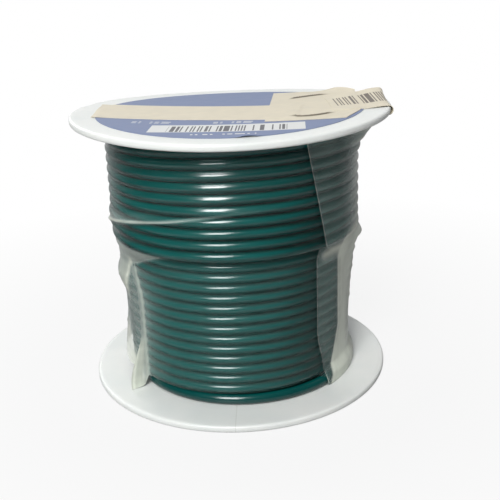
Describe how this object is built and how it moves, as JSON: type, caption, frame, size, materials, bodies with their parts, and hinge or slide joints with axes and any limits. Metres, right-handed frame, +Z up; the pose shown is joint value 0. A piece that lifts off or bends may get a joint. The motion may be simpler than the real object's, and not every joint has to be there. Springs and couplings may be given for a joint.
{
  "type": "wire spool",
  "caption": "Moulded plastic spool with two round flanges and an arbor bore, wound with insulated wire in level layers, wrapped in clear film, with a round label and paper stickers on top.",
  "frame": {"origin": "on the spool's axis, at the underside of the lower flange", "axes": "+Z up along the spool's axis, -Y towards the front that the picture shows, +X to the right of it"},
  "size_m": [0.1022, 0.1016, 0.0895],
  "materials": {
    "spool_plastic": "satin",
    "wire_insulation": "gloss",
    "copper": "satin",
    "clear_film": "gloss",
    "label_paper": "satin",
    "sticker_paper": "matte"
  },
  "bodies": {
    "root": {"lower_flange": "spool_plastic", "upper_flange": "spool_plastic", "barrel": "spool_plastic", "winding_core": "wire_insulation", "inner_layer": "wire_insulation", "outer_layer": "wire_insulation", "conductor_strands": "copper", "film_wrap": "clear_film", "round_label": "label_paper", "paper_strip": "sticker_paper", "wide_sticker": "sticker_paper", "barcode_flag": "sticker_paper"}
  },
  "joints": []
}
